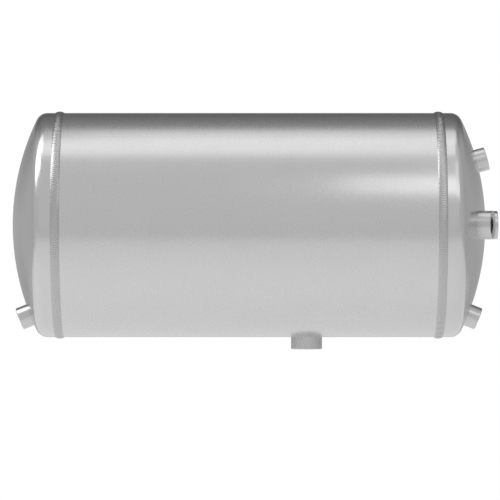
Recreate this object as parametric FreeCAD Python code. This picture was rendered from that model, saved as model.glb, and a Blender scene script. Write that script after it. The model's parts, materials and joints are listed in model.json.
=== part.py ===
import FreeCAD, Part
import math
import os

# Horizontal compressed-air tank in welded aluminium, about 45 litres.
#
# A rolled sheet closed by one straight seam is the shell.  Two pressed heads slip into its ends on
# a joggled rim and a girth weld closes each joint.  Turned bosses with threaded ports stand through
# the right head, the left head's foot and the underside, each with a fillet weld round it inside, so
# that it leaves the tank cleanly.
#
# Frame, in millimetres: +X along the tank towards its right end, +Z up, -Y the front.  The origin is
# on the tank's axis, midway between the two girth welds.

OUT = "parts"
Vector = FreeCAD.Vector
ORIGIN = Vector(0, 0, 0)
TANK_AXIS = Vector(1, 0, 0)
UP = Vector(0, 0, 1)

# ---- driving dimensions ------------------------------------------------------------------------

SHELL_OD = 310.0            # outside diameter of the shell and of the heads' skirts
SHELL_WALL = 3.0
GIRTH_WELD_SPACING = 522.4  # between the middles of the two girth welds

HEAD_WALL = 3.5
CROWN_RADIUS = 334.0        # outside radius of the shallow dish
KNUCKLE_RADIUS = 16.0       # outside radius of the bend from dish to skirt
SKIRT_LENGTH = 17.05        # from the middle of the girth weld to the start of the knuckle
RIM_LENGTH = 12.0           # joggled rim that slips into the shell
RIM_CLEARANCE = 0.1         # radial, between the rim and the shell's bore

GIRTH_BEAD_WIDTH = 13.0
GIRTH_BEAD_HEIGHT = 2.1     # above the shell
GIRTH_ROOT_GAP = 2.0        # between the shell's edge and the foot of the joggle
SHELL_BEVEL = 2.0           # weld preparation on the shell's edge

SEAM_ELEVATION = 25.0       # degrees above the horizontal, at the back of the shell
SEAM_ROOT_GAP = 2.5
SEAM_BEAD_WIDTH = 9.0
SEAM_BEAD_HEIGHT = 1.3

THREAD_DEPTH_SHARE = 1.0825  # minor diameter = major - 1.0825 x pitch, ISO metric
THREAD_PITCH = 1.5
BOSS_FIT = 0.05             # radial, between a boss and the hole it stands in
BOSS_INNER_STAND = 4.0      # how far a boss reaches past the wall's inside
BOSS_RIM_CHAMFER = 0.8
MOUTH_WIDTH = 4.0           # how far the countersunk mouth opens past the thread's major radius
MOUTH_DEPTH = 1.5
FILLET_LEG = 3.0            # fillet weld round a boss, inside the tank
FILLET_BULGE = 0.15         # rise of its face above the flat, as a share of the leg
FILLET_CUT = 0.85           # how much of the leg the flat face takes off on the saddle

# Boss kinds: outside diameter, thread's major diameter, stand above the wall.
SMALL_BOSS = {"od": 31.0, "major": 16.0, "stand": 16.0}
TOP_BOSS = {"od": 32.0, "major": 16.0, "stand": 14.8}
LARGE_BOSS = {"od": 39.0, "major": 24.0, "stand": 17.5}
BOTTOM_BOSS = {"od": 43.0, "major": 26.0, "stand": 16.4}

# Where the bosses stand: pitch radius on the crown, and clock angle seen from the right end,
# anticlockwise from the back of the tank (0 back, 90 top, 180 front, 270 bottom).
SIDE_PITCH_RADIUS = 87.5
TOP_PITCH_RADIUS = 88.2
DRAIN_PITCH_RADIUS = 124.0
BOTTOM_BOSS_X = 79.6

# ---- sizes worked out from them ----------------------------------------------------------------

SHELL_R = SHELL_OD / 2
BORE_R = SHELL_R - SHELL_WALL
WELD_X = GIRTH_WELD_SPACING / 2
TANGENT_X = WELD_X + SKIRT_LENGTH
KNUCKLE_CENTRE_R = SHELL_R - KNUCKLE_RADIUS
CROWN_CENTRE_X = TANGENT_X - math.sqrt((CROWN_RADIUS - KNUCKLE_RADIUS) ** 2 - KNUCKLE_CENTRE_R**2)
CROWN_ANGLE = math.asin(KNUCKLE_CENTRE_R / (CROWN_RADIUS - KNUCKLE_RADIUS))
RIM_R = BORE_R - RIM_CLEARANCE
JOGGLE_DROP = SHELL_R - RIM_R
# The welded groove's mouth, from the shell's bevel to the top of the joggle, lies centred under the bead.
SHELL_EDGE_X = WELD_X - (GIRTH_ROOT_GAP + JOGGLE_DROP - SHELL_BEVEL) / 2
JOGGLE_FOOT_X = SHELL_EDGE_X + GIRTH_ROOT_GAP
RIM_END_X = JOGGLE_FOOT_X - RIM_LENGTH
SHELL_LAND = SHELL_WALL - SHELL_BEVEL


# ---- small helpers -----------------------------------------------------------------------------

def half_plane(x, r):
    """A point of a turned outline: x along the tank's axis, r out from it."""
    return Vector(x, 0, r)


def line(a, b):
    return Part.LineSegment(a, b).toShape()


def polyline(points):
    return [line(a, b) for a, b in zip(points, points[1:])]


def arc_about(centre, radius, start, end):
    """Arc in the half plane; the angles are in radians from +X towards +r."""
    def at(angle):
        return centre + Vector(radius * math.cos(angle), 0, radius * math.sin(angle))
    return Part.Arc(at(start), at((start + end) / 2), at(end)).toShape()


def turned(edges, axis):
    """The solid swept by a closed outline that turns once about an axis through the origin."""
    wire = Part.Wire(Part.__sortEdges__(edges))
    return Part.Face(wire).revolve(ORIGIN, axis, 360)


def mirrored(shape):
    """The same piece at the tank's other end."""
    return shape.mirror(ORIGIN, TANK_AXIS)


def single_solid(shape):
    """The one solid that a boolean operation left."""
    shape = shape.removeSplitter()
    if len(shape.Solids) != 1:
        raise ValueError(f"expected one solid, found {len(shape.Solids)}")
    return shape.Solids[0]


# ---- shell -------------------------------------------------------------------------------------

def shell_tube():
    """The shell as a full tube, its outer edges bevelled for the girth welds."""
    x, x_bevel = SHELL_EDGE_X, SHELL_EDGE_X - SHELL_BEVEL
    outline = [
        half_plane(-x, BORE_R),
        half_plane(-x, BORE_R + SHELL_LAND),
        half_plane(-x_bevel, SHELL_R),
        half_plane(x_bevel, SHELL_R),
        half_plane(x, BORE_R + SHELL_LAND),
        half_plane(x, BORE_R),
        half_plane(-x, BORE_R),
    ]
    return turned(polyline(outline), TANK_AXIS)


def turned_to_seam(shape):
    """Turns a piece made at the top of the shell to the straight seam's place at the back."""
    shape.rotate(ORIGIN, TANK_AXIS, SEAM_ELEVATION - 90)
    return shape


def seam_slot():
    """The gap between the rolled sheet's two edges, as a block through the wall."""
    length = 2 * WELD_X
    block = Part.makeBox(length, SEAM_ROOT_GAP, SHELL_R, Vector(-WELD_X, -SEAM_ROOT_GAP / 2, SHELL_R / 2))
    return turned_to_seam(block)


def make_shell():
    bottom = port_axis("bottom_boss")
    return single_solid(shell_tube().cut([seam_slot(), boss_hole(bottom)]))


def make_shell_seam_weld():
    """Weld metal that fills the straight seam, with a low crown between the girth welds."""
    chord_drop = SHELL_R - math.sqrt(SHELL_R**2 - (SEAM_BEAD_WIDTH / 2) ** 2)
    rise = SEAM_BEAD_HEIGHT + chord_drop
    crown_r = ((SEAM_BEAD_WIDTH / 2) ** 2 + rise**2) / (2 * rise)
    half_length = WELD_X - GIRTH_BEAD_WIDTH / 2
    crown_centre = Vector(-half_length, 0, SHELL_R + SEAM_BEAD_HEIGHT - crown_r)
    crown = Part.makeCylinder(crown_r, 2 * half_length, crown_centre, TANK_AXIS)
    crown = turned_to_seam(crown).cut(solid_cylinder(SHELL_R))
    return single_solid(crown.fuse(shell_tube().common(seam_slot())))


def solid_cylinder(radius):
    """A solid round bar on the tank's axis, longer than the shell."""
    return Part.makeCylinder(radius, 2 * TANGENT_X, Vector(-TANGENT_X, 0, 0), TANK_AXIS)


# ---- heads -------------------------------------------------------------------------------------

def head_outline():
    """Right head: dish, knuckle, skirt, joggle and rim, at one wall thickness."""
    crown_centre = half_plane(CROWN_CENTRE_X, 0)
    knuckle_centre = half_plane(TANGENT_X, KNUCKLE_CENTRE_R)
    inner_crown = CROWN_RADIUS - HEAD_WALL
    inner_knuckle = KNUCKLE_RADIUS - HEAD_WALL
    skirt_inner_r = SHELL_R - HEAD_WALL
    rim_inner_r = RIM_R - HEAD_WALL
    # The joggle falls at 45 degrees; this keeps its wall as thick as the rest.
    inner_lag = HEAD_WALL * math.tan(math.radians(22.5))
    rim_and_skirt = [
        half_plane(TANGENT_X, SHELL_R),
        half_plane(JOGGLE_FOOT_X + JOGGLE_DROP, SHELL_R),
        half_plane(JOGGLE_FOOT_X, RIM_R),
        half_plane(RIM_END_X, RIM_R),
        half_plane(RIM_END_X, rim_inner_r),
        half_plane(JOGGLE_FOOT_X + inner_lag, rim_inner_r),
        half_plane(JOGGLE_FOOT_X + inner_lag + JOGGLE_DROP, skirt_inner_r),
        half_plane(TANGENT_X, skirt_inner_r),
    ]
    return [
        arc_about(crown_centre, CROWN_RADIUS, 0, CROWN_ANGLE),
        arc_about(knuckle_centre, KNUCKLE_RADIUS, CROWN_ANGLE, math.pi / 2),
        *polyline(rim_and_skirt),
        arc_about(knuckle_centre, inner_knuckle, math.pi / 2, CROWN_ANGLE),
        arc_about(crown_centre, inner_crown, CROWN_ANGLE, 0),
        line(half_plane(CROWN_CENTRE_X + inner_crown, 0), half_plane(CROWN_CENTRE_X + CROWN_RADIUS, 0)),
    ]


def make_head(side, boss_names):
    blank = turned(head_outline(), TANK_AXIS)
    if side == "left":
        blank = mirrored(blank)
    return single_solid(blank.cut([boss_hole(port_axis(name)) for name in boss_names]))


def make_girth_weld():
    """Right girth weld: fills the groove between shell and joggle, crowned on the outside."""
    half = GIRTH_BEAD_WIDTH / 2
    groove = [
        half_plane(WELD_X - half, SHELL_R),
        half_plane(SHELL_EDGE_X - SHELL_BEVEL, SHELL_R),
        half_plane(SHELL_EDGE_X, BORE_R + SHELL_LAND),
        half_plane(SHELL_EDGE_X, RIM_R),
        half_plane(JOGGLE_FOOT_X, RIM_R),
        half_plane(JOGGLE_FOOT_X + JOGGLE_DROP, SHELL_R),
        half_plane(WELD_X + half, SHELL_R),
    ]
    top = half_plane(WELD_X, SHELL_R + GIRTH_BEAD_HEIGHT)
    crown = Part.Arc(groove[-1], top, groove[0]).toShape()
    return turned(polyline(groove) + [crown], TANK_AXIS)


# ---- bosses ------------------------------------------------------------------------------------

# name: (boss kind, end of the tank or "shell", pitch radius, clock angle)
PORTS = {
    "bottom_boss": (BOTTOM_BOSS, "shell", None, None),
    "left_drain_boss": (SMALL_BOSS, "left", DRAIN_PITCH_RADIUS, 270),
    "right_drain_boss": (SMALL_BOSS, "right", DRAIN_PITCH_RADIUS, 270),
    "right_top_boss": (TOP_BOSS, "right", TOP_PITCH_RADIUS, 90),
    "right_centre_boss": (LARGE_BOSS, "right", 0.0, 0),
    "right_front_boss": (LARGE_BOSS, "right", SIDE_PITCH_RADIUS, 180),
    "right_rear_boss": (LARGE_BOSS, "right", SIDE_PITCH_RADIUS, 0),
}


def port_axis(name):
    """Where a boss's axis leaves the outer surface, and the outward direction there."""
    kind, place, pitch_radius, clock = PORTS[name]
    if place == "shell":
        return kind, Vector(BOTTOM_BOSS_X, 0, -SHELL_R), Vector(0, 0, -1)
    tilt = math.asin(pitch_radius / CROWN_RADIUS)
    clock = math.radians(clock)
    end = 1 if place == "right" else -1
    outward = Vector(
        end * math.cos(tilt),
        math.sin(tilt) * math.cos(clock),
        math.sin(tilt) * math.sin(clock),
    )
    return kind, Vector(end * CROWN_CENTRE_X, 0, 0) + outward * CROWN_RADIUS, outward


def placed(shape, port):
    """Moves a piece made on the +Z axis, with z = 0 at the wall's outside, to its port."""
    _, surface, outward = port
    placement = FreeCAD.Placement(surface, FreeCAD.Rotation(UP, outward))
    shape.Placement = placement.multiply(shape.Placement)
    return shape


def boss_hole(port):
    """The round cutter for the hole that a boss stands in."""
    kind = port[0]
    reach = kind["od"]
    return placed(Part.makeCylinder(kind["od"] / 2 + BOSS_FIT, 2 * reach, Vector(0, 0, -reach)), port)


def wall_at(name):
    """Outside radius and thickness of the wall that a boss stands in."""
    if PORTS[name][1] == "shell":
        return SHELL_R, SHELL_WALL
    return CROWN_RADIUS, HEAD_WALL


def make_boss(name):
    """A turned boss with a plain bore at the thread's minor diameter and a countersunk mouth."""
    port = port_axis(name)
    kind = port[0]
    outer_r = kind["od"] / 2
    bore_r = (kind["major"] - THREAD_DEPTH_SHARE * THREAD_PITCH) / 2
    mouth_r = kind["major"] / 2 + MOUTH_WIDTH
    wall_r, wall = wall_at(name)
    inside_r = wall_r - wall
    # The wall curves away from the tangent plane, so the foot is measured from its inside at the rim.
    foot = math.sqrt(inside_r**2 - outer_r**2) - wall_r - BOSS_INNER_STAND
    top = kind["stand"]
    outline = [
        half_plane(bore_r, foot),
        half_plane(outer_r, foot),
        half_plane(outer_r, top - BOSS_RIM_CHAMFER),
        half_plane(outer_r - BOSS_RIM_CHAMFER, top),
        half_plane(mouth_r, top),
        half_plane(bore_r, top - MOUTH_DEPTH),
        half_plane(bore_r, foot),
    ]
    return placed(turned(polyline(outline), UP), port)


def make_crown_fillet_weld(name):
    """Fillet weld between a boss and the inside of the crown: a turned ring with a bulged face."""
    port = port_axis(name)
    wall_r, wall = wall_at(name)
    inside_r = wall_r - wall
    inner_r = port[0]["od"] / 2
    outer_r = inner_r + FILLET_LEG

    def on_crown(r):
        return half_plane(r, math.sqrt(inside_r**2 - r**2) - wall_r)

    root, toe = on_crown(inner_r), on_crown(outer_r)
    shoulder = root - Vector(0, 0, FILLET_LEG)
    bulge = (shoulder + toe) * 0.5 + Vector(1, 0, -1).normalize() * FILLET_LEG * FILLET_BULGE
    edges = [
        line(root, shoulder),
        Part.Arc(shoulder, bulge, toe).toShape(),
        Part.Arc(toe, on_crown((inner_r + outer_r) / 2), root).toShape(),
    ]
    return placed(turned(edges, UP), port)


def make_shell_fillet_weld(name):
    """Fillet weld between a boss and the shell's bore: a ring that follows the saddle between them."""
    port = port_axis(name)
    inner_r = port[0]["od"] / 2
    height = SHELL_R
    collar = Part.makeCylinder(inner_r + FILLET_LEG, height, Vector(0, 0, -height / 2))
    collar = placed(collar.cut(Part.makeCylinder(inner_r, height, Vector(0, 0, -height / 2))), port)
    lining = solid_cylinder(BORE_R).cut(solid_cylinder(BORE_R - FILLET_LEG))
    ring = single_solid(collar.common(lining))
    free_edges = [edge for edge in ring.Edges if is_inner_saddle(edge, port)]
    return ring.makeChamfer(FILLET_LEG * FILLET_CUT, free_edges)


def is_inner_saddle(edge, port):
    """True for the ring's free edge: the one furthest from both the boss and the shell's bore."""
    kind, surface, outward = port
    point = edge.valueAt((edge.FirstParameter + edge.LastParameter) / 2)
    off_boss = (point - surface).cross(outward).Length > (kind["od"] + FILLET_LEG) / 2
    off_shell = math.hypot(point.y, point.z) < BORE_R - FILLET_LEG / 2
    return off_boss and off_shell


# ---- the whole tank ----------------------------------------------------------------------------

def make_pieces():
    girth_weld = make_girth_weld()
    pieces = {
        "shell": make_shell(),
        "shell_seam_weld": make_shell_seam_weld(),
        "left_girth_weld": mirrored(girth_weld),
        "right_girth_weld": girth_weld,
    }
    for side in ("left", "right"):
        names = [name for name, port in PORTS.items() if port[1] == side]
        pieces[f"{side}_head"] = make_head(side, names)
    for name, port in PORTS.items():
        pieces[name] = make_boss(name)
        make_weld = make_shell_fillet_weld if port[1] == "shell" else make_crown_fillet_weld
        pieces[f"{name}_weld"] = make_weld(name)
    return pieces


def main():
    os.makedirs(OUT, exist_ok=True)
    for name, shape in make_pieces().items():
        if not shape.isValid() or shape.Volume <= 0:
            raise ValueError(f"{name} is not a sound solid")
        shape.exportStep(f"{OUT}/{name}.step")
        print(f"{name}: {shape.Volume / 1000:.1f} cm3")


main()
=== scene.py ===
import json
import math

import bmesh
import bpy
from mathutils import Matrix, Vector, noise


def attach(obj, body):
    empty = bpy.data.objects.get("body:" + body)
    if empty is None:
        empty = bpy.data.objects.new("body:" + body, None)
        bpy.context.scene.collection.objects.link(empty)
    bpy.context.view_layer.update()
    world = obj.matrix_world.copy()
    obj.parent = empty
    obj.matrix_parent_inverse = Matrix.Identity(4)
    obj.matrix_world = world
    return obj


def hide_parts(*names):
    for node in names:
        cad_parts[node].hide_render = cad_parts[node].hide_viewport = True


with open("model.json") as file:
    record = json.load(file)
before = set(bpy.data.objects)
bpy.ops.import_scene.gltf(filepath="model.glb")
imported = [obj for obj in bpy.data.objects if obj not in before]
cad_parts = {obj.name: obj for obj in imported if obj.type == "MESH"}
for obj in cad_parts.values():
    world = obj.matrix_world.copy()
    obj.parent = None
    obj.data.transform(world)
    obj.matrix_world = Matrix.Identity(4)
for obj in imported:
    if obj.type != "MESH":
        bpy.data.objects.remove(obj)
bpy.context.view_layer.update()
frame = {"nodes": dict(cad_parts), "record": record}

# ---- shell -------------------------------------------------------------------------------------
# The body of the tank: one aluminium sheet, 3 mm thick, rolled round and closed by a straight seam.
# Its ends are bevelled and lie under the two girth welds.  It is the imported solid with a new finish.

MM = 0.001
SHELL_RADIUS = 155 * MM
GIRTH_WELD_X = 261.2 * MM


def linear(hex_colour):
    """An sRGB colour such as #C0C0C0 as the linear red, green, blue and alpha of a shader socket."""
    channels = [int(hex_colour[i:i + 2], 16) / 255 for i in (1, 3, 5)]
    return [c / 12.92 if c <= 0.04045 else ((c + 0.055) / 1.055) ** 2.4 for c in channels] + [1.0]


def add(tree, kind, sockets=None, **settings):
    """Adds one shader node: its settings, and for each socket a value or the socket that feeds it."""
    node = tree.nodes.new("ShaderNode" + kind)
    for name, value in settings.items():
        setattr(node, name, value)
    for name, value in (sockets or {}).items():
        if isinstance(value, bpy.types.NodeSocket):
            tree.links.new(value, node.inputs[name])
        else:
            node.inputs[name].default_value = value
    return node


def new_material(name):
    """An empty node material with its output node."""
    material = bpy.data.materials.new(name)
    material.use_nodes = True
    material.node_tree.nodes.clear()
    return material, material.node_tree, add(material.node_tree, "OutputMaterial")


def rolled_aluminium():
    """Mill-finish aluminium sheet, rolled: satin, with a fine grain round the tank and faint rubs."""
    grain_mm, cloud_mm, rub_mm = 0.9, 60.0, 22.0
    material, tree, output = new_material("rolled_aluminium_sheet")
    place = add(tree, "TexCoord").outputs["Object"]
    # Grain: drawn out round the tank, so it is squeezed along X only.
    stretched = add(tree, "Mapping", {"Vector": place, "Scale": (1.0, 0.04, 0.04)})
    grain = add(tree, "TexNoise", {
        "Vector": stretched.outputs[0],
        "Scale": 1 / (grain_mm * MM),
        "Detail": 2.0,
    })
    cloud = add(tree, "TexNoise", {"Vector": place, "Scale": 1 / (cloud_mm * MM), "Detail": 3.0})
    rub = add(tree, "TexNoise", {
        "Vector": place,
        "Scale": 1 / (rub_mm * MM),
        "Detail": 6.0,
        "Roughness": 0.65,
    })
    tone = add(tree, "MixRGB", {
        "Fac": cloud.outputs["Fac"],
        "Color1": linear("#CDCDCD"),
        "Color2": linear("#D1D1D1"),
    })
    mixed = add(tree, "Math", {0: grain.outputs["Fac"], 1: rub.outputs["Fac"]}, operation="ADD")
    rough = add(tree, "MapRange", {
        "Value": mixed.outputs[0],
        "From Min": 0.6,
        "From Max": 1.4,
        "To Min": 0.24,
        "To Max": 0.30,
    })
    bump = add(tree, "Bump", {"Height": grain.outputs["Fac"], "Strength": 0.06, "Distance": 0.02 * MM})
    shader = add(tree, "BsdfPrincipled", {
        "Base Color": tone.outputs[0],
        "Metallic": 1.0,
        "Roughness": rough.outputs[0],
        "Normal": bump.outputs[0],
    })
    tree.links.new(shader.outputs[0], output.inputs["Surface"])
    return material


def finish_node(name, material):
    """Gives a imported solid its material."""
    slots = frame["nodes"][name].material_slots
    for slot in slots:
        slot.material = material


finish_node("shell", rolled_aluminium())

# ---- heads -------------------------------------------------------------------------------------
# Two dished ends, pressed from 3.5 mm aluminium sheet.  Each slips into the shell on a joggled rim.
# Pressing leaves them smoother than the shell, with faint rings where the sheet was drawn.


def pressed_aluminium():
    """Pressed and lightly polished aluminium: a softer gloss than the shell, faintly ringed."""
    ring_mm, cloud_mm, middle_mm = 1.6, 45.0, 11.0
    material, tree, output = new_material("pressed_aluminium_sheet")
    place = add(tree, "TexCoord").outputs["Object"]
    axes = add(tree, "SeparateXYZ", {0: place})
    across = add(tree, "CombineXYZ", {"Y": axes.outputs["Y"], "Z": axes.outputs["Z"]})
    radius = add(tree, "VectorMath", {0: across.outputs[0]}, operation="LENGTH")
    ring_place = add(tree, "CombineXYZ", {"X": radius.outputs["Value"]})
    rings = add(tree, "TexNoise", {
        "Vector": ring_place.outputs[0],
        "Scale": 1 / (ring_mm * MM),
        "Detail": 2.0,
    })
    cloud = add(tree, "TexNoise", {"Vector": place, "Scale": 1 / (cloud_mm * MM), "Detail": 4.0})
    tone = add(tree, "MixRGB", {
        "Fac": cloud.outputs["Fac"],
        "Color1": linear("#CBCBCB"),
        "Color2": linear("#CFCFCF"),
    })
    rough = add(tree, "MapRange", {
        "Value": cloud.outputs["Fac"],
        "From Min": 0.3,
        "From Max": 0.7,
        "To Min": 0.20,
        "To Max": 0.24,
    })
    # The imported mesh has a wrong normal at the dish's pole, so the middle takes each face's own normal.
    geometry = add(tree, "NewGeometry")
    middle = add(tree, "Math", {0: radius.outputs["Value"], 1: middle_mm * MM}, operation="LESS_THAN")
    normal = add(tree, "MixRGB", {
        "Fac": middle.outputs[0],
        "Color1": geometry.outputs["Normal"],
        "Color2": geometry.outputs["True Normal"],
    })
    bump = add(tree, "Bump", {
        "Height": rings.outputs["Fac"],
        "Strength": 0.02,
        "Distance": 0.01 * MM,
        "Normal": normal.outputs[0],
    })
    shader = add(tree, "BsdfPrincipled", {
        "Base Color": tone.outputs[0],
        "Metallic": 1.0,
        "Roughness": rough.outputs[0],
        "Normal": bump.outputs[0],
    })
    tree.links.new(shader.outputs[0], output.inputs["Surface"])
    return material


head_finish = pressed_aluminium()
for side in ("left", "right"):
    finish_node(f"{side}_head", head_finish)

# ---- girth welds -------------------------------------------------------------------------------
# The raised bead round each end, laid in one pass as the tank turns under the torch.  Each freeze of
# the pool leaves a crescent ripple.  The bead joins the shell's bevelled edge to the head's joggle.

BEAD_HALF_WIDTH = 6.5 * MM
BEAD_HEIGHT = 2.05 * MM
BEAD_ROOT_DEPTH = 3.0 * MM
BEAD_ROOT_HALF_WIDTH = 1.2 * MM
BEAD_BURIED = 0.15 * MM      # how far the bead's toes reach into the sheet
BEAD_RIPPLE = 3.2 * MM
BEAD_RELIEF = 0.17           # depth of a ripple, as a share of the bead's height
BEAD_PITS = 0.14             # depth of the pits between grains, likewise
BEAD_CRESCENT = 0.9          # how many ripples the crescent lags behind at the toes
BEAD_FULLNESS = 0.85         # the section's power: 1 is a parabola, and less is fuller
BEAD_WANDER = 0.02           # how far the width wanders along the bead, as a share of it
BEAD_UNEVENNESS = 0.35       # how far the ripples differ in depth, likewise
BEAD_SMOOTH_BELOW = 60       # degrees


def freeze_ripple(phase):
    """Height of a freeze ripple, 0 to 1: a slow rise and a quick fall."""
    step = phase % 1.0
    return step / 0.7 if step < 0.7 else (1.0 - step) / 0.3


def mesh_piece(name, vertices, faces, material, smooth_below=35, place=Matrix.Identity(4)):
    """A mesh object that rides on the tank, smooth where its faces meet gently."""
    mesh = bpy.data.meshes.new(name)
    mesh.from_pydata(vertices, [], faces)
    mesh.validate()
    mesh.polygons.foreach_set("use_smooth", [True] * len(mesh.polygons))
    mesh.set_sharp_from_angle(angle=math.radians(smooth_below))
    mesh.materials.append(material)
    piece = bpy.data.objects.new(name, mesh)
    piece.matrix_world = place
    bpy.context.scene.collection.objects.link(piece)
    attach(piece, "root")
    return piece


def bead_section(along, seed, half_width, height, points):
    """Offsets across and heights of a bead's face, so many ripples along it."""
    # The width drifts slowly along the bead, the ripples' depth faster, and the pits fastest.
    width = 1 - BEAD_WANDER + BEAD_WANDER * noise.noise(Vector((along * 0.11, seed, 0)))
    lift = 1 + BEAD_UNEVENNESS * noise.noise(Vector((along * 0.7, seed, 4)))
    for j in range(points):
        u = 2 * j / (points - 1) - 1
        crest = freeze_ripple(along + BEAD_CRESCENT * u * u)
        pits = abs(noise.noise(Vector((along * 2.1, u * 4.2, seed + 8))))
        relief = 1 - BEAD_RELIEF * lift * (1 - crest) - BEAD_PITS * pits
        share = (1 - u * u) ** BEAD_FULLNESS * relief
        yield half_width * width * u, (height + BEAD_BURIED) * share - BEAD_BURIED


def weld_bead_aluminium():
    """As-laid aluminium weld metal: greyer than the sheet, grained by the freezing pool."""
    grain_mm, speck_mm = 1.0, 1.6
    material, tree, output = new_material("aluminium_weld_metal")
    place = add(tree, "TexCoord").outputs["Object"]
    grain = add(tree, "TexNoise", {
        "Vector": place,
        "Scale": 1 / (grain_mm * MM),
        "Detail": 3.0,
        "Roughness": 0.6,
    })
    specks = add(tree, "TexVoronoi", {"Vector": place, "Scale": 1 / (speck_mm * MM)})
    tone = add(tree, "MixRGB", {
        "Fac": grain.outputs["Fac"],
        "Color1": linear("#AEAEAE"),
        "Color2": linear("#C2C2C2"),
    })
    rough = add(tree, "MapRange", {
        "Value": specks.outputs["Distance"],
        "From Min": 0.0,
        "From Max": 0.8,
        "To Min": 0.20,
        "To Max": 0.32,
    })
    bump = add(tree, "Bump", {"Height": grain.outputs["Fac"], "Strength": 0.8, "Distance": 0.25 * MM})
    shader = add(tree, "BsdfPrincipled", {
        "Base Color": tone.outputs[0],
        "Metallic": 1.0,
        "Roughness": rough.outputs[0],
        "Normal": bump.outputs[0],
    })
    tree.links.new(shader.outputs[0], output.inputs["Surface"])
    return material


def ring_faces(rings, points, closed=True):
    """Quads between rings of points; the last ring meets the first, or else each end gets a cap."""
    faces = []
    for i in range(rings if closed else rings - 1):
        a, b = i * points, (i + 1) % rings * points
        for j in range(points):
            k = (j + 1) % points
            faces.append((a + j, a + k, b + k, b + j))
    if not closed:
        last = (rings - 1) * points
        faces.append(tuple(reversed(range(points))))
        faces.append(tuple(range(last, last + points)))
    return faces


def girth_bead(end):
    """Vertices and faces of the bead round the tank's end at x = end * GIRTH_WELD_X."""
    points, per_ripple = 19, 6
    ripples = round(2 * math.pi * SHELL_RADIUS / BEAD_RIPPLE)
    around = ripples * per_ripple
    vertices = []
    for i in range(around):
        turn = 2 * math.pi * i / around
        out = Vector((0, math.cos(turn), math.sin(turn)))
        middle = Vector((end * GIRTH_WELD_X, 0, 0))
        section = bead_section(i / per_ripple, end, BEAD_HALF_WIDTH, BEAD_HEIGHT, points)
        for across, height in section:
            vertices.append(middle + out * (SHELL_RADIUS + height) + Vector((across, 0, 0)))
        for across in (BEAD_ROOT_HALF_WIDTH, -BEAD_ROOT_HALF_WIDTH):
            vertices.append(middle + out * (SHELL_RADIUS - BEAD_ROOT_DEPTH) + Vector((across, 0, 0)))
    return vertices, ring_faces(around, points + 2)


weld_finish = weld_bead_aluminium()
for side, end in (("left", -1), ("right", 1)):
    bead = mesh_piece(f"{side}_girth_bead", *girth_bead(end), weld_finish, BEAD_SMOOTH_BELOW)
    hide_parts(f"{side}_girth_weld")

# ---- seam weld ---------------------------------------------------------------------------------
# The straight weld that closes the rolled sheet, laid by machine from end to end.  It is lower and
# narrower than the girth welds, with a finer ripple, and it is turned to the back.

SEAM_ELEVATION = math.radians(25)
SEAM_HALF_WIDTH = 4.5 * MM
SEAM_HEIGHT = 1.3 * MM
SEAM_ROOT_HALF_WIDTH = 1.25 * MM
SEAM_RIPPLE = 2.6 * MM
SEAM_END = 0.8 * BEAD_HALF_WIDTH     # from a girth weld's middle to the seam's end, under the bead
SEAM_SEED = 5


def seam_bead():
    """Vertices and faces of the straight bead between the two girth welds."""
    points, per_ripple = 11, 5
    reach = GIRTH_WELD_X - SEAM_END
    steps = round(2 * reach / SEAM_RIPPLE) * per_ripple + 1
    vertices = []
    for i in range(steps):
        x = -reach + 2 * reach * i / (steps - 1)
        section = list(bead_section(i / per_ripple, SEAM_SEED, SEAM_HALF_WIDTH, SEAM_HEIGHT, points))
        section.append((SEAM_ROOT_HALF_WIDTH, -BEAD_ROOT_DEPTH))
        section.append((-SEAM_ROOT_HALF_WIDTH, -BEAD_ROOT_DEPTH))
        for across, height in section:
            turn = SEAM_ELEVATION + across / SHELL_RADIUS
            radius = SHELL_RADIUS + height
            vertices.append(Vector((x, radius * math.cos(turn), radius * math.sin(turn))))
    return vertices, ring_faces(steps, points + 2, closed=False)


seam = mesh_piece("shell_seam_bead", *seam_bead(), weld_finish, BEAD_SMOOTH_BELOW)
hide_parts("shell_seam_weld")

# ---- bosses ------------------------------------------------------------------------------------
# Seven short threaded ports, turned from aluminium bar and welded in from the inside.  Five stand on
# the right head, counting the one hidden at the back, one on the left head and one underneath.

THREAD_PITCH = 1.5 * MM
THREAD_DEPTH = 0.54125 * THREAD_PITCH
MOUTH_WIDTH = 4.0 * MM       # how far the countersunk mouth opens past the thread's root
MOUTH_DEPTH = 1.5 * MM
RIM_CHAMFER = 0.8 * MM
BOSS_SIDES = 96
BOSS_RADIUS = {
    "bottom": 21.5 * MM,
    "right_top": 16 * MM,
    "left_drain": 15.5 * MM,
    "right_drain": 15.5 * MM,
}
LARGE_BOSS_RADIUS = 19.5 * MM
# The thread's form, along one pitch: a flat crest, a flank, a narrower flat root, a flank.
THREAD_FORM = [(0.0, 0.0), (0.25, 0.0), (0.5625, 1.0), (0.6875, 1.0), (1.0, 0.0)]


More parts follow.
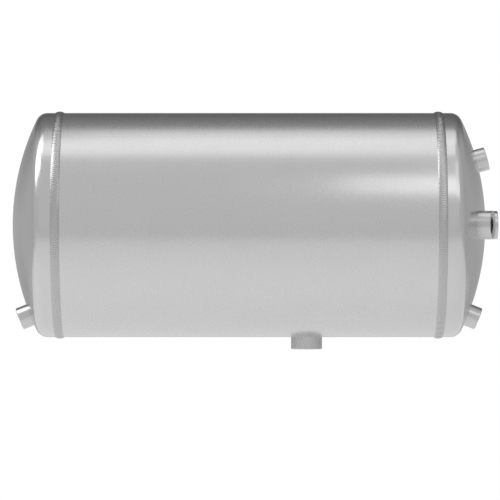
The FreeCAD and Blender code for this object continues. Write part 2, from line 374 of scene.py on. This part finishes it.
def turned_aluminium():
    """Bar turned on a lathe: glossier than the sheet, with fine rings about the boss's own axis."""
    feed_mm, haze_mm = 0.35, 7.0
    material, tree, output = new_material("turned_aluminium_bar")
    place = add(tree, "TexCoord").outputs["Object"]
    axes = add(tree, "SeparateXYZ", {0: place})
    across = add(tree, "CombineXYZ", {"X": axes.outputs["X"], "Y": axes.outputs["Y"]})
    radius = add(tree, "VectorMath", {0: across.outputs[0]}, operation="LENGTH")
    # The tool moves along the wall or in across the face, so both counts make rings.
    travel = add(tree, "Math", {0: axes.outputs["Z"], 1: radius.outputs["Value"]}, operation="ADD")
    tool_place = add(tree, "CombineXYZ", {"X": travel.outputs[0]})
    rings = add(tree, "TexNoise", {
        "Vector": tool_place.outputs[0],
        "Scale": 1 / (feed_mm * MM),
        "Detail": 1.0,
    })
    haze = add(tree, "TexNoise", {"Vector": place, "Scale": 1 / (haze_mm * MM), "Detail": 4.0})
    tone = add(tree, "MixRGB", {
        "Fac": haze.outputs["Fac"],
        "Color1": linear("#C6C6C6"),
        "Color2": linear("#CECECE"),
    })
    rough = add(tree, "MapRange", {
        "Value": haze.outputs["Fac"],
        "From Min": 0.3,
        "From Max": 0.7,
        "To Min": 0.24,
        "To Max": 0.30,
    })
    bump = add(tree, "Bump", {"Height": rings.outputs["Fac"], "Strength": 0.08, "Distance": 0.02 * MM})
    shader = add(tree, "BsdfPrincipled", {
        "Base Color": tone.outputs[0],
        "Metallic": 1.0,
        "Roughness": rough.outputs[0],
        "Normal": bump.outputs[0],
    })
    tree.links.new(shader.outputs[0], output.inputs["Surface"])
    return material


def thread_depth_share(turns):
    """How deep the thread is cut, 0 at its crest to 1 at its root, so many pitches along it."""
    phase = turns % 1.0
    for (start, low), (stop, high) in zip(THREAD_FORM, THREAD_FORM[1:]):
        if phase <= stop:
            return low + (high - low) * (phase - start) / (stop - start)


def boss_column(turn, length, bore, nominal, outer):
    """The boss's section at one place round it: up the outside, over the rim and down the thread."""
    mouth = nominal + MOUTH_WIDTH
    mouth_slope = (mouth - bore) / MOUTH_DEPTH
    column = [
        (outer, 0.0),
        (outer, length - RIM_CHAMFER),
        (outer - RIM_CHAMFER, length),
        (mouth, length),
    ]
    for cycle in range(math.ceil(length / THREAD_PITCH), -2, -1):
        for phase, _ in reversed(THREAD_FORM[:-1]):
            height = min(max(THREAD_PITCH * (cycle + phase + turn), 0.0), length)
            cut = (nominal - bore) * thread_depth_share(height / THREAD_PITCH - turn)
            column.append((max(bore + cut, mouth - mouth_slope * (length - height)), height))
    return column


def threaded_boss(length, bore, nominal, outer):
    """Vertices and faces of a boss with its thread cut, from its foot at z = 0 to its mouth at +Z."""
    build = bmesh.new()
    columns = []
    for i in range(BOSS_SIDES + 1):
        turn = i / BOSS_SIDES
        c, s = math.cos(2 * math.pi * turn), math.sin(2 * math.pi * turn)
        section = boss_column(turn, length, bore, nominal, outer)
        columns.append([build.verts.new((r * c, r * s, z)) for r, z in section])
    for here, there in zip(columns, columns[1:]):
        for j in range(len(here)):
            k = (j + 1) % len(here)
            build.faces.new((here[j], there[j], there[k], here[k]))
    bmesh.ops.remove_doubles(build, verts=build.verts, dist=0.001 * MM)
    bmesh.ops.recalc_face_normals(build, faces=build.faces)
    vertices = [v.co.copy() for v in build.verts]
    faces = [[v.index for v in face.verts] for face in build.faces]
    build.free()
    return vertices, faces


boss_finish = turned_aluminium()
for mount in frame["record"]["mounts"]:
    if mount["kind"] != "threaded_hole":
        continue
    port = mount["name"].removesuffix("_port")
    axis = Vector(mount["axis"])
    bore = mount["dims"]["r_mm"] * MM
    # The bore is the thread's crest, and the nominal radius its root.
    nominal = bore + THREAD_DEPTH
    foot = Vector(mount["pos_m"]) - axis * mount["dims"]["length_mm"] * MM
    length = mount["dims"]["length_mm"] * MM + MOUTH_DEPTH
    outer = BOSS_RADIUS.get(port, LARGE_BOSS_RADIUS)
    place = Matrix.Translation(foot) @ axis.to_track_quat("Z", "Y").to_matrix().to_4x4()
    shape = threaded_boss(length, bore, nominal, outer)
    boss = mesh_piece(f"{port}_threaded_boss", *shape, boss_finish, place=place)
    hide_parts(f"{port}_boss")
    finish_node(f"{port}_boss_weld", weld_finish)

# ---- studio ------------------------------------------------------------------------------------
# A white floor well below the tank, and soft boxes on an arch over it, the brightest high on the left.
# The room is pale in front of the tank and dark behind it, but for a paler band at the back horizon.

FLOOR_DROP = 1.2
FLOOR_REACH = 5.0
ARCH_RADIUS = 1.6            # from the tank's axis to the soft boxes
NEAR_RADIUS = 0.5            # and to the two small ones close to it


def studio_floor():
    """A plain white floor, bright enough to light the tank's underside."""
    material, tree, output = new_material("pale_floor")
    shader = add(tree, "BsdfPrincipled", {
        "Base Color": linear("#D8D8D8"),
        "Roughness": 0.9,
        "Emission Color": linear("#FFFFFF"),
        "Emission Strength": 0.45,
    })
    tree.links.new(shader.outputs[0], output.inputs["Surface"])
    mesh = bpy.data.meshes.new("floor")
    signs = [(-1, -1), (1, -1), (1, 1), (-1, 1)]
    corners = [(x * FLOOR_REACH, y * FLOOR_REACH, -FLOOR_DROP) for x, y in signs]
    mesh.from_pydata(corners, [], [(0, 1, 2, 3)])
    mesh.materials.append(material)
    floor = bpy.data.objects.new("floor", mesh)
    bpy.context.scene.collection.objects.link(floor)


def studio_room():
    """The room as the metal mirrors it: brightness by angle about the tank's axis."""
    world = bpy.data.worlds.new("studio_room")
    bpy.context.scene.world = world
    world.use_nodes = True
    tree = world.node_tree
    tree.nodes.clear()
    # Degrees from the front horizon up and over to the back, and how bright the room is there.
    # The front wall is even right up to overhead, and the room falls away into the dark behind that.
    room = [
        (-180, 0.5),
        (-150, 0.1),
        (-30, 0.5),
        (0, 0.7),
        (90, 0.7),
        (105, 0.35),
        (160, 0.1),
        (180, 0.5),
    ]
    axes = add(tree, "SeparateXYZ", {0: add(tree, "TexCoord").outputs["Generated"]})
    front = add(tree, "Math", {0: axes.outputs["Y"], 1: -1.0}, operation="MULTIPLY")
    angle = add(tree, "Math", {0: axes.outputs["Z"], 1: front.outputs[0]}, operation="ARCTAN2")
    share = add(tree, "MapRange", {
        "Value": angle.outputs[0],
        "From Min": -math.pi,
        "From Max": math.pi,
    })
    ramp = add(tree, "ValToRGB", {"Fac": share.outputs[0]})
    stops = ramp.color_ramp.elements
    while len(stops) < len(room):
        stops.new(1.0)
    for stop, (degrees, level) in zip(stops, room):
        stop.position = degrees / 360 + 0.5
        stop.color = [level] * 3 + [1.0]
    # Towards the tank's ends the bands would meet in a point, so they fade into plain side walls.
    walls = {}
    for side, front_level, back_level in (("left", 0.65, 0.55), ("right", 0.6, 0.5)):
        walls[side] = add(tree, "MapRange", {
            "Value": axes.outputs["Y"],
            "From Min": -0.3,
            "From Max": 0.3,
            "To Min": front_level,
            "To Max": back_level,
        }).outputs[0]
    which = add(tree, "MapRange", {"Value": axes.outputs["X"], "From Min": -0.3, "From Max": 0.3})
    wall = add(tree, "MixRGB", {
        "Fac": which.outputs[0],
        "Color1": walls["left"],
        "Color2": walls["right"],
    })
    along = add(tree, "Math", {0: axes.outputs["X"]}, operation="ABSOLUTE")
    fade = add(tree, "MapRange", {
        "Value": along.outputs[0],
        "From Min": 0.4,
        "From Max": 0.7,
    }, interpolation_type="SMOOTHSTEP")
    room_light = add(tree, "MixRGB", {
        "Fac": fade.outputs[0],
        "Color1": ramp.outputs["Color"],
        "Color2": wall.outputs[0],
    })
    lit = add(tree, "Background", {"Color": room_light.outputs[0]})
    white = add(tree, "Background", {"Color": linear("#FFFFFF")})
    seen = add(tree, "LightPath")
    both = add(tree, "MixShader", {
        "Fac": seen.outputs["Is Camera Ray"],
        1: lit.outputs[0],
        2: white.outputs[0],
    })
    add(tree, "OutputWorld", {"Surface": both.outputs[0]})


def soft_box(name, x, degrees, width, height, radiance, reach=ARCH_RADIUS):
    """A rectangular soft light, so far along the tank and up from the front, facing the tank."""
    angle = math.radians(degrees)
    out = Vector((0, -math.cos(angle), math.sin(angle)))
    place = Vector((x, 0, 0)) + out * reach
    data = bpy.data.lights.new(name, "AREA")
    data.shape = "RECTANGLE"
    data.size, data.size_y = width, height
    data.energy = math.pi * width * height * radiance
    light = bpy.data.objects.new(name, data)
    # It shines down its own -Z, square to the tank's axis, with its width along the tank.
    along = Vector((1, 0, 0))
    turn = Matrix((along, out.cross(along), out)).transposed().to_4x4()
    light.matrix_world = Matrix.Translation(place) @ turn
    light.visible_camera = False
    bpy.context.scene.collection.objects.link(light)


studio_floor()
studio_room()
soft_box("left_window", -1.95, 80, 2.1, 1.15, 2.3)
soft_box("left_top", -0.7, 90, 0.4, 0.75, 1.2)
soft_box("overhead", 0, 82, 1.1, 0.55, 0.5)
soft_box("back_overhead", 0.2, 100, 1.1, 0.55, 0.65)
soft_box("right_window", 0.9, 38, 1.2, 0.55, 0.6)
soft_box("near_right", 0.22, 36, 0.17, 0.14, 0.35, reach=NEAR_RADIUS)
soft_box("near_right_high", 0.39, 52, 0.17, 0.14, 0.35, reach=NEAR_RADIUS)

# The camera stands level with the tank's axis, far off, with a long lens.
CAMERA_DISTANCE = 5.165
CAMERA_DIP = 0.382           # degrees that it looks below the level
CAMERA_TURN = 0.0153         # degrees that it is turned to the right
LENS_MM, SENSOR_MM = 268.8, 36.0
camera_data = bpy.data.cameras.new("camera")
camera_data.lens = LENS_MM
camera_data.sensor_width = SENSOR_MM
camera_data.clip_start, camera_data.clip_end = 0.1, 100.0
camera = bpy.data.objects.new("camera", camera_data)
camera.location = (0, -CAMERA_DISTANCE, 0)
camera.rotation_euler = (math.radians(90 - CAMERA_DIP), 0, -math.radians(CAMERA_TURN))
bpy.context.scene.collection.objects.link(camera)
bpy.context.scene.camera = camera
bpy.context.scene.view_settings.view_transform = "Standard"
